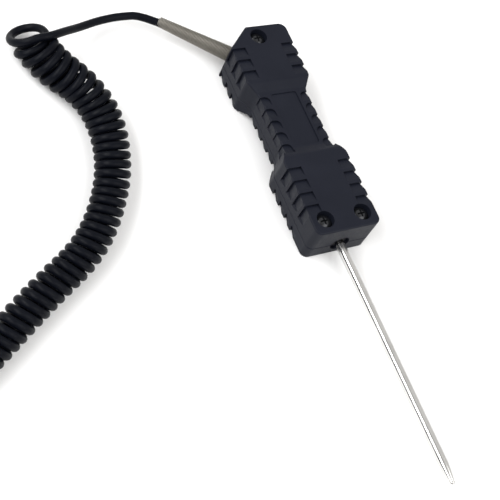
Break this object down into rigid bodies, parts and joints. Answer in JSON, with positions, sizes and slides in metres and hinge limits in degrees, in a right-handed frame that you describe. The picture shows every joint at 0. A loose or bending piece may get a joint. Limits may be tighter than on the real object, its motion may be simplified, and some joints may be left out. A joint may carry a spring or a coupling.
{
  "type": "penetration probe",
  "caption": "Hand-held penetration probe of a grain meter: black waisted two-shell grip, pointed stainless stem, spring cord guard, curly cord with a jack plug",
  "frame": {"origin": "underside of the grip at Z=0; X=0 and Y=0 are the middle of the grip and stem together, the cord left out", "axes": "+X to the right across the grip seen from the front; +Y along the grip, from the stem's point towards the cord end; +Z out of the grip's front face, where the screws are"},
  "size_m": [0.1842, 0.2304, 0.0186],
  "materials": {
    "case_plastic": "fine matt texture, very dark blue-grey",
    "black_screw": "black oxide, glossy",
    "stainless": "polished stainless steel",
    "bead_glass": "glass-coated thermistor bead",
    "potting": "cured heat-conducting compound",
    "wire_red": "PVC insulation",
    "wire_white": "PVC insulation",
    "wire_black": "PVC insulation",
    "liner_plastic": "translucent fluoropolymer tube",
    "collar_brass": "turned brass",
    "grommet_rubber": "moulded rubber",
    "board_green": "solder mask on glass-fibre board",
    "resistor_body": "lacquered metal-film resistor",
    "solder": "bright solder",
    "small_screw": "zinc-plated steel",
    "sleeve_black": "heat-shrink sleeve",
    "clamp_plastic": "natural nylon",
    "bush_plastic": "moulded acetal",
    "spring_steel": "drawn stainless spring wire",
    "cord_jacket": "satin polyurethane jacket",
    "plug_plastic": "moulded PVC",
    "plug_contact": "nickel-plated brass",
    "plug_insulator": "insulating rings"
  },
  "bodies": {
    "root": {"front_shell": "case_plastic", "rear_shell": "case_plastic", "case_screws": "black_screw", "probe_tube": "stainless", "probe_tip": "stainless", "sensor_bead": "bead_glass", "tip_potting": "potting", "lead_red": "wire_red", "lead_white": "wire_white", "lead_liner": "liner_plastic", "probe_collar": "collar_brass", "probe_grommet": "grommet_rubber", "junction_board": "board_green", "matching_resistor": "resistor_body", "solder_joints": "solder", "board_screws": "small_screw", "conductor_red": "wire_red", "conductor_white": "wire_white", "conductor_black": "wire_black", "jacket_sleeve": "sleeve_black", "cord_clamp": "clamp_plastic", "clamp_screws": "small_screw", "guard_bush": "bush_plastic", "spring_guard": "spring_steel", "cord_lead": "cord_jacket", "cord_coil": "cord_jacket", "cord_end": "cord_jacket", "plug_boot": "plug_plastic", "plug_body": "plug_plastic", "plug_sleeve": "plug_contact", "plug_ring": "plug_contact", "plug_tip": "plug_contact", "plug_insulators": "plug_insulator"}
  },
  "joints": []
}
